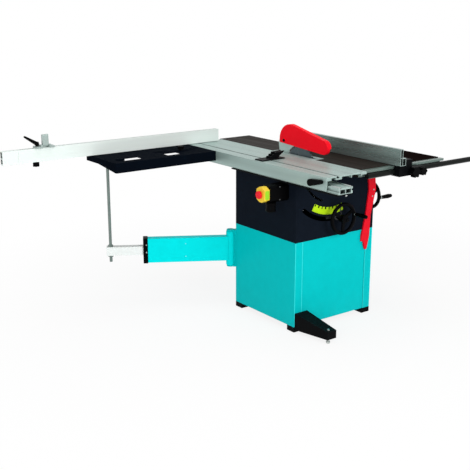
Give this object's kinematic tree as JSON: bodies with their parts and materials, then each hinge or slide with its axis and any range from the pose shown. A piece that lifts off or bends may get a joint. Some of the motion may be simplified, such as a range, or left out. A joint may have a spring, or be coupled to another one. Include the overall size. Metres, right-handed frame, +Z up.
{
  "type": "sliding table saw",
  "caption": "Floor-standing sliding table saw with cabinet base, tilting blade, sliding carriage with outrigger, crosscut fence and rip fence on a round guide bar.",
  "frame": {"origin": "on the floor, at the centre of the four anchor holes under the cabinet", "axes": "+X to the operator's right, along the crosscut fence; +Y along the feed, towards the rear; +Z up"},
  "size_m": [2.16, 1.294, 1.022],
  "materials": {
    "cabinet_paint": "satin turquoise enamel",
    "arm_paint": "satin turquoise enamel",
    "housing_paint": "fine textured blue-black enamel",
    "black_paint": "semi-matte black enamel",
    "table_top": "ground and oiled top",
    "aluminium": "satin anodised",
    "steel": "zinc plated or ground",
    "blade_steel": "ground sheet",
    "casting": "grey casting",
    "motor_paint": "grey enamel",
    "belt_rubber": "matt rubber",
    "black_plastic": "moulded, fine grain",
    "guard_red": "moulded red",
    "button_red": "moulded red",
    "cover_yellow": "moulded yellow",
    "scale_green": "printed foil",
    "pointer_white": "moulded white"
  },
  "bodies": {
    "stand": {"side_panels": "cabinet_paint", "end_panels": "cabinet_paint", "corner_feet": "black_paint", "stabiliser_foot": "black_paint", "upper_housing": "housing_paint", "dust_outlet": "black_paint", "main_table": "table_top", "rear_table": "table_top", "right_table": "table_top", "table_insert": "aluminium", "front_rail": "aluminium", "guide_bar": "steel", "rail_standoffs": "steel", "slide_beam": "aluminium", "beam_support": "black_paint", "beam_rods": "steel", "arm_hinge_bracket": "arm_paint", "trunnion_brackets": "casting", "angle_scale": "scale_green", "switch_box": "black_plastic"},
    "levelling": {"levelling_screw": "steel"},
    "roller_bed": {"roller_cage": "steel"},
    "sliding_table": {"carriage": "aluminium", "outrigger": "black_paint"},
    "table_lock": {"carriage_lock_lever": "black_plastic"},
    "fence_bar": {"crosscut_fence": "aluminium", "swivel_plate": "black_paint"},
    "swivel_clamp": {"swivel_knob": "black_plastic"},
    "fence_end": {"fence_extension": "aluminium"},
    "extension_clamp": {"extension_knob": "black_plastic"},
    "flip_stop": {"stop_block": "aluminium"},
    "flap": {"stop_flap": "aluminium"},
    "stop_clamp": {"stop_lever": "black_plastic"},
    "shoe": {"edging_shoe": "black_paint"},
    "arm": {"swing_arm": "arm_paint", "arm_end_cap": "black_plastic"},
    "telescope": {"arm_tube": "steel", "support_strut": "steel"},
    "tilt_unit": {"tilt_frame": "casting", "angle_pointer": "pointer_white"},
    "lift_unit": {"arbor_housing": "casting", "motor": "motor_paint", "drive_belt": "belt_rubber", "riving_knife": "blade_steel", "blade_guard": "guard_red"},
    "spindle": {"arbor_shaft": "steel", "saw_blade": "blade_steel"},
    "motor_drive": {"motor_pulley": "steel"},
    "screw": {"lift_screw": "steel"},
    "height_wheel": {"height_handwheel": "black_plastic"},
    "height_handle": {"height_grip": "black_plastic"},
    "tilt_wheel": {"tilt_handwheel": "black_plastic"},
    "tilt_handle": {"tilt_grip": "black_plastic"},
    "rip_carrier": {"rip_fence_carrier": "black_paint"},
    "rip_bar": {"rip_fence": "aluminium"},
    "rip_clamp": {"carrier_knob": "black_plastic"},
    "rip_slide_clamp": {"fence_slide_knob": "black_plastic"},
    "cover": {"switch_cover": "cover_yellow"},
    "stop": {"stop_button": "button_red"},
    "stick": {"push_stick": "guard_red"}
  },
  "joints": [
    {"name": "levelling_turn", "type": "hinge", "parent": "stand", "child": "levelling", "pos_m": [-0.22, -0.458, 0], "axis": [0, 0, 1], "continuous": true},
    {"name": "carriage_slide", "type": "slide", "parent": "stand", "child": "sliding_table", "axis": [0, 1, 0], "range_m": [-0.75, 0.05]},
    {"name": "roller_cage_slide", "type": "slide", "parent": "stand", "child": "roller_bed", "axis": [0, 1, 0], "range_m": [-0.375, 0.025]},
    {"name": "carriage_lock", "type": "hinge", "parent": "sliding_table", "child": "table_lock", "pos_m": [-0.318, -0.488, 0.842], "axis": [1, 0, 0], "range_deg": [-75, 0]},
    {"name": "fence_swivel", "type": "hinge", "parent": "sliding_table", "child": "fence_bar", "pos_m": [-0.47, 0.646, 0.869], "axis": [0, 0, 1], "range_deg": [-45, 45]},
    {"name": "swivel_knob_turn", "type": "hinge", "parent": "sliding_table", "child": "swivel_clamp", "pos_m": [-0.47, 0.486, 0.869], "axis": [0, 0, 1], "range_deg": [-180, 180]},
    {"name": "fence_extend", "type": "slide", "parent": "fence_bar", "child": "fence_end", "axis": [-1, 0, 0], "range_m": [0, 0.5]},
    {"name": "extension_knob_turn", "type": "hinge", "parent": "fence_bar", "child": "extension_clamp", "pos_m": [-1.238, 0.646, 0.869], "axis": [0, 0, 1], "range_deg": [-180, 180]},
    {"name": "stop_slide", "type": "slide", "parent": "fence_bar", "child": "flip_stop", "axis": [1, 0, 0], "range_m": [-0.06, 0.85]},
    {"name": "stop_flap_flip", "type": "hinge", "parent": "flip_stop", "child": "flap", "pos_m": [-1.193, 0.622, 0.954], "axis": [1, 0, 0], "range_deg": [0, 180]},
    {"name": "stop_lever_turn", "type": "hinge", "parent": "flip_stop", "child": "stop_clamp", "pos_m": [-1.227, 0.646, 0.948], "axis": [0, 0, 1], "range_deg": [-90, 0]},
    {"name": "shoe_slide", "type": "slide", "parent": "sliding_table", "child": "shoe", "axis": [0, 1, 0], "range_m": [-0.35, 0.15]},
    {"name": "arm_swing", "type": "hinge", "parent": "stand", "child": "arm", "pos_m": [-0.284, 0.284, 0.335], "axis": [0, 0, 1], "range_deg": [-4.8, 67.4]},
    {"name": "arm_telescope", "type": "slide", "parent": "arm", "child": "telescope", "axis": [-0.8581, 0.5135, 0], "range_m": [-0.1, 0.15]},
    {"name": "blade_tilt", "type": "hinge", "parent": "stand", "child": "tilt_unit", "pos_m": [-0.032, 0, 0.866], "axis": [0, 1, 0], "range_deg": [0, 45]},
    {"name": "blade_lift", "type": "slide", "parent": "tilt_unit", "child": "lift_unit", "axis": [0, 0, 1], "range_m": [-0.02, 0.018]},
    {"name": "blade_spin", "type": "hinge", "parent": "lift_unit", "child": "spindle", "pos_m": [-0.032, -0.005, 0.79], "axis": [1, 0, 0], "continuous": true},
    {"name": "motor_spin", "type": "hinge", "parent": "lift_unit", "child": "motor_drive", "pos_m": [0.08, -0.005, 0.59], "axis": [1, 0, 0], "continuous": true},
    {"name": "lift_screw_turn", "type": "hinge", "parent": "tilt_unit", "child": "screw", "pos_m": [0.005, -0.09, 0.7], "axis": [0, 0, 1], "continuous": true},
    {"name": "height_wheel_turn", "type": "hinge", "parent": "tilt_unit", "child": "height_wheel", "pos_m": [0.0051, -0.302, 0.57637], "axis": [0, -1, 0], "continuous": true},
    {"name": "height_grip_spin", "type": "hinge", "parent": "height_wheel", "child": "height_handle", "pos_m": [0.07944, -0.35, 0.59217], "axis": [0, -1, 0], "continuous": true},
    {"name": "tilt_wheel_turn", "type": "hinge", "parent": "stand", "child": "tilt_wheel", "pos_m": [0.332, -0.16, 0.636], "axis": [1, 0, 0], "continuous": true},
    {"name": "tilt_grip_spin", "type": "hinge", "parent": "tilt_wheel", "child": "tilt_handle", "pos_m": [0.38, -0.23061, 0.62858], "axis": [1, 0, 0], "continuous": true},
    {"name": "rip_carrier_slide", "type": "slide", "parent": "stand", "child": "rip_carrier", "axis": [1, 0, 0], "range_m": [-0.15, 0.3]},
    {"name": "rip_fence_slide", "type": "slide", "parent": "rip_carrier", "child": "rip_bar", "axis": [0, 1, 0], "range_m": [-0.2, 0.04]},
    {"name": "carrier_knob_turn", "type": "hinge", "parent": "rip_carrier", "child": "rip_clamp", "pos_m": [0.239, -0.534, 0.833], "axis": [0, -1, 0], "range_deg": [-180, 180]},
    {"name": "fence_slide_knob_turn", "type": "hinge", "parent": "rip_carrier", "child": "rip_slide_clamp", "pos_m": [0.295, -0.534, 0.833], "axis": [0, -1, 0], "range_deg": [-180, 180]},
    {"name": "switch_cover_lift", "type": "hinge", "parent": "stand", "child": "cover", "pos_m": [-0.3903, -0.158, 0.773], "axis": [0, 1, 0], "range_deg": [0, 65]},
    {"name": "stop_button_press", "type": "slide", "parent": "cover", "child": "stop", "axis": [1, 0, 0], "range_m": [0, 0.005], "stiffness_N_per_m": 900},
    {"name": "push_stick_swing", "type": "hinge", "parent": "stand", "child": "stick", "pos_m": [0.243, -0.257, 0.758], "axis": [0, 1, 0], "range_deg": [-20, 20]}
  ],
  "couplings": [
    {"joint": "roller_cage_slide", "follows": "carriage_slide", "ratio": 0.5},
    {"joint": "arm_swing", "follows": "carriage_slide", "rad_per_m": -1.56},
    {"joint": "motor_spin", "follows": "blade_spin", "ratio": 0.85714},
    {"joint": "lift_screw_turn", "follows": "blade_lift", "rad_per_m": 628.32},
    {"joint": "height_wheel_turn", "follows": "blade_lift", "rad_per_m": 628.32},
    {"joint": "tilt_wheel_turn", "follows": "blade_tilt", "ratio": 40}
  ]
}
